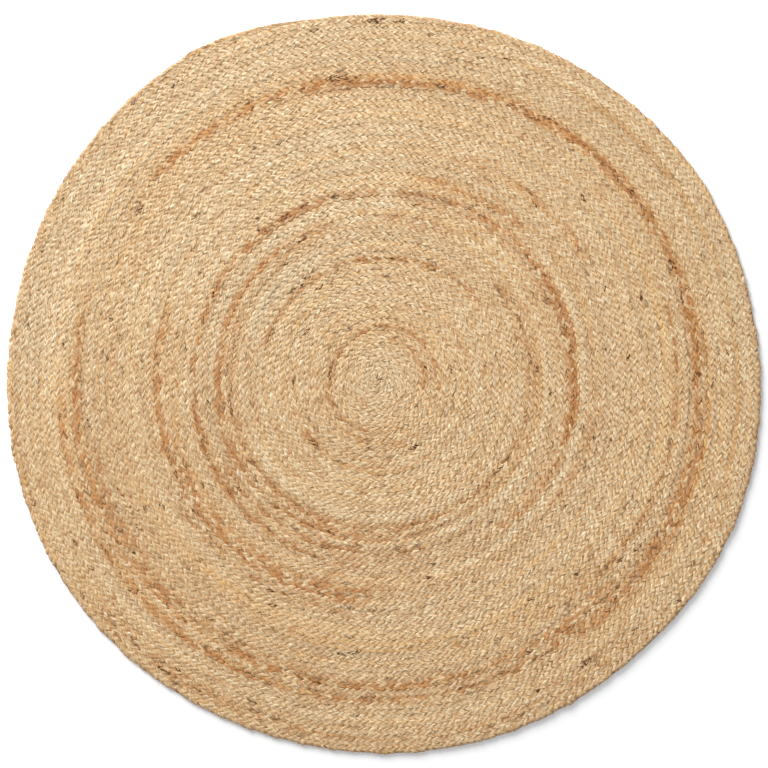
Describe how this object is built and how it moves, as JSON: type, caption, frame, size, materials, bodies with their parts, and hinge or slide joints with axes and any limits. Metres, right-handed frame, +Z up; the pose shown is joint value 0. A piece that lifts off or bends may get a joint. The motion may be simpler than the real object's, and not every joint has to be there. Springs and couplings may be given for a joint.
{
  "type": "round braided jute rug",
  "caption": "Round flat rug of plaited natural jute braid wound in a spiral and sewn turn to turn, with an uneven rounded rim.",
  "frame": {"origin": "centre of the rug's outline box, on the flat underside", "axes": "+Z up from the floor through the walking surface, +X and +Y across the rug, with the braid's tucked tail at the +Y edge"},
  "size_m": [1.5002, 1.4718, 0.0106],
  "materials": {
    "jute_braid": "matte plaited jute, natural straw and honey tones"
  },
  "bodies": {
    "root": {"braided_rug": "jute_braid"}
  },
  "joints": []
}
